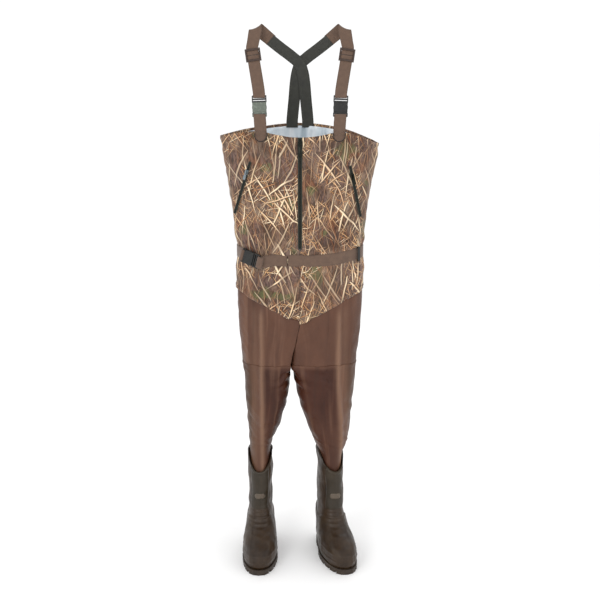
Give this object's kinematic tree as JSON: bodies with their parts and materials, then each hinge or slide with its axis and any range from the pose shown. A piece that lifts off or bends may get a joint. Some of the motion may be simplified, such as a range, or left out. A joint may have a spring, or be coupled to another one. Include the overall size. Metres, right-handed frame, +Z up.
{
  "type": "chest waders",
  "caption": "Chest waders with a camouflage bib, front zip, crossed elastic shoulder straps, belt, brown legs and moulded rubber boots, hung by the straps.",
  "frame": {"origin": "midway between the undersides of the two shoulder folds, where a coat hanger carries the waders", "axes": "+Z up, -Y the wearer's front, +X the wearer's left"},
  "size_m": [0.5112, 0.3309, 1.7754],
  "materials": {
    "camouflage": "printed woven, reed pattern",
    "nylon": "coated woven, satin",
    "boot_rubber": "moulded, satin",
    "sole_rubber": "moulded, lugged",
    "insole_foam": "felted foam",
    "webbing": "ribbed webbing",
    "elastic": "knitted elastic",
    "lining": "coated cloth, silvery",
    "plastic": "moulded, semi-gloss",
    "zip_tape": "woven tape",
    "zip_metal": "dark plated"
  },
  "bodies": {
    "bib": {"bib_front_left": "camouflage", "bib_front_right": "camouflage", "bib_back": "camouflage", "lining": "lining", "top_hem": "camouflage", "crotch_gusset": "nylon", "main_zip_tape": "zip_tape", "main_zip_teeth": "zip_metal", "main_zip_flap": "lining", "pocket_zip_left": "zip_tape", "pocket_zip_right": "zip_tape", "pocket_bag_left": "lining", "pocket_bag_right": "lining", "belt_webbing": "webbing", "belt_tail": "webbing", "belt_keeper": "plastic", "belt_loop_left": "camouflage", "belt_loop_right": "camouflage", "buckle_left_socket": "plastic", "strap_anchor_left": "webbing", "webbing_lower_left": "webbing", "webbing_shoulder_left": "webbing", "back_elastic_left": "elastic", "buckle_right_socket": "plastic", "strap_anchor_right": "webbing", "webbing_lower_right": "webbing", "webbing_shoulder_right": "webbing", "back_elastic_right": "elastic", "buckle_belt_socket": "plastic"},
    "thigh_left": {"hip_band_left": "nylon", "thigh_left": "nylon", "knee_band_left": "nylon"},
    "shin_left": {"shin_left": "nylon", "boot_left": "boot_rubber", "outsole_left": "sole_rubber", "insole_left": "insole_foam"},
    "thigh_right": {"hip_band_right": "nylon", "thigh_right": "nylon", "knee_band_right": "nylon"},
    "shin_right": {"shin_right": "nylon", "boot_right": "boot_rubber", "outsole_right": "sole_rubber", "insole_right": "insole_foam"},
    "main_zip_slider": {"main_zip_slider": "zip_metal"},
    "main_zip_pull": {"main_zip_pull": "zip_metal"},
    "pocket_left_slider": {"pocket_left_slider": "zip_metal"},
    "pocket_left_pull": {"pocket_left_pull": "zip_metal"},
    "pocket_right_slider": {"pocket_right_slider": "zip_metal"},
    "pocket_right_pull": {"pocket_right_pull": "zip_metal"},
    "buckle_left_plug": {"buckle_left_plug": "plastic"},
    "buckle_left_arm_a": {"buckle_left_arm_a": "plastic"},
    "buckle_left_arm_b": {"buckle_left_arm_b": "plastic"},
    "buckle_right_plug": {"buckle_right_plug": "plastic"},
    "buckle_right_arm_a": {"buckle_right_arm_a": "plastic"},
    "buckle_right_arm_b": {"buckle_right_arm_b": "plastic"},
    "buckle_belt_plug": {"buckle_belt_plug": "plastic"},
    "buckle_belt_arm_a": {"buckle_belt_arm_a": "plastic"},
    "buckle_belt_arm_b": {"buckle_belt_arm_b": "plastic"},
    "adjuster_left": {"adjuster_left": "plastic"},
    "adjuster_right": {"adjuster_right": "plastic"}
  },
  "joints": [
    {"name": "hip_left", "type": "hinge", "parent": "bib", "child": "thigh_left", "pos_m": [0, -0.015, -0.925], "axis": [-1, 0, 0], "range_deg": [-15, 60], "deforming": ["hip_band_left"]},
    {"name": "knee_left", "type": "hinge", "parent": "thigh_left", "child": "shin_left", "pos_m": [0, 0.01, -1.225], "axis": [1, 0, 0], "range_deg": [0, 100], "deforming": ["knee_band_left"]},
    {"name": "hip_right", "type": "hinge", "parent": "bib", "child": "thigh_right", "pos_m": [0, -0.015, -0.925], "axis": [-1, 0, 0], "range_deg": [-15, 60], "deforming": ["hip_band_right"]},
    {"name": "knee_right", "type": "hinge", "parent": "thigh_right", "child": "shin_right", "pos_m": [0, 0.01, -1.225], "axis": [1, 0, 0], "range_deg": [0, 100], "deforming": ["knee_band_right"]},
    {"name": "main_zip_open", "type": "slide", "parent": "bib", "child": "main_zip_slider", "axis": [0, 0.0268, -0.9996], "range_m": [0, 0.3]},
    {"name": "main_zip_pull_swing", "type": "hinge", "parent": "main_zip_slider", "child": "main_zip_pull", "pos_m": [0, -0.1141, -0.35109], "axis": [-1, 0, 0], "range_deg": [0, 175]},
    {"name": "pocket_left_open", "type": "slide", "parent": "bib", "child": "pocket_left_slider", "axis": [0.2177, 0.1857, -0.9582], "range_m": [0, 0.118]},
    {"name": "pocket_left_pull_swing", "type": "hinge", "parent": "pocket_left_slider", "child": "pocket_left_pull", "pos_m": [0.16863, -0.08255, -0.45603], "axis": [-0.8421, -0.4605, -0.2805], "range_deg": [0, 175]},
    {"name": "pocket_right_open", "type": "slide", "parent": "bib", "child": "pocket_right_slider", "axis": [-0.2963, 0.2566, -0.92], "range_m": [0, 0.118]},
    {"name": "pocket_right_pull_swing", "type": "hinge", "parent": "pocket_right_slider", "child": "pocket_right_pull", "pos_m": [-0.17032, -0.08448, -0.44191], "axis": [-0.8051, 0.4511, 0.3851], "range_deg": [0, 175]},
    {"name": "buckle_left_release", "type": "slide", "parent": "bib", "child": "buckle_left_plug", "axis": [0.0352, 0.275, 0.9608], "range_m": [0, 0.03], "deforming": ["webbing_lower_left", "buckle_left_arm_a", "buckle_left_arm_b"]},
    {"name": "buckle_left_squeeze_a", "type": "hinge", "parent": "buckle_left_plug", "child": "buckle_left_arm_a", "pos_m": [0.11221, -0.06875, -0.22828], "axis": [0, -0.9614, 0.2752], "range_deg": [0, 12], "stiffness_Nm_per_rad": 0.02},
    {"name": "buckle_left_squeeze_b", "type": "hinge", "parent": "buckle_left_plug", "child": "buckle_left_arm_b", "pos_m": [0.14219, -0.06904, -0.22929], "axis": [0, 0.9614, -0.2752], "range_deg": [0, 12], "stiffness_Nm_per_rad": 0.02},
    {"name": "buckle_right_release", "type": "slide", "parent": "bib", "child": "buckle_right_plug", "axis": [-0.0352, 0.275, 0.9608], "range_m": [0, 0.03], "deforming": ["webbing_lower_right", "buckle_right_arm_a", "buckle_right_arm_b"]},
    {"name": "buckle_right_squeeze_a", "type": "hinge", "parent": "buckle_right_plug", "child": "buckle_right_arm_a", "pos_m": [-0.14219, -0.06904, -0.22929], "axis": [0, -0.9614, 0.2752], "range_deg": [0, 12], "stiffness_Nm_per_rad": 0.02},
    {"name": "buckle_right_squeeze_b", "type": "hinge", "parent": "buckle_right_plug", "child": "buckle_right_arm_b", "pos_m": [-0.11221, -0.06875, -0.22828], "axis": [0, 0.9614, -0.2752], "range_deg": [0, 12], "stiffness_Nm_per_rad": 0.02},
    {"name": "buckle_belt_release", "type": "slide", "parent": "bib", "child": "buckle_belt_plug", "axis": [0.8305, -0.4776, -0.2864], "range_m": [0, 0.03], "deforming": ["belt_tail", "buckle_belt_arm_a", "buckle_belt_arm_b"]},
    {"name": "buckle_belt_squeeze_a", "type": "hinge", "parent": "buckle_belt_plug", "child": "buckle_belt_arm_a", "pos_m": [-0.14815, -0.09067, -0.70629], "axis": [-0.4985, -0.8669, 0], "range_deg": [0, 12], "stiffness_Nm_per_rad": 0.02},
    {"name": "buckle_belt_squeeze_b", "type": "hinge", "parent": "buckle_belt_plug", "child": "buckle_belt_arm_b", "pos_m": [-0.1556, -0.08639, -0.73503], "axis": [0.4985, 0.8669, 0], "range_deg": [0, 12], "stiffness_Nm_per_rad": 0.02},
    {"name": "adjuster_left_slide", "type": "slide", "parent": "bib", "child": "adjuster_left", "axis": [0.144, 0.2723, 0.9514], "range_m": [-0.08, 0]},
    {"name": "adjuster_right_slide", "type": "slide", "parent": "bib", "child": "adjuster_right", "axis": [-0.144, 0.2723, 0.9514], "range_m": [-0.08, 0]}
  ],
  "couplings": [
    {"joint": "buckle_left_squeeze_b", "follows": "buckle_left_squeeze_a", "ratio": 1},
    {"joint": "buckle_right_squeeze_b", "follows": "buckle_right_squeeze_a", "ratio": 1},
    {"joint": "buckle_belt_squeeze_b", "follows": "buckle_belt_squeeze_a", "ratio": 1}
  ]
}
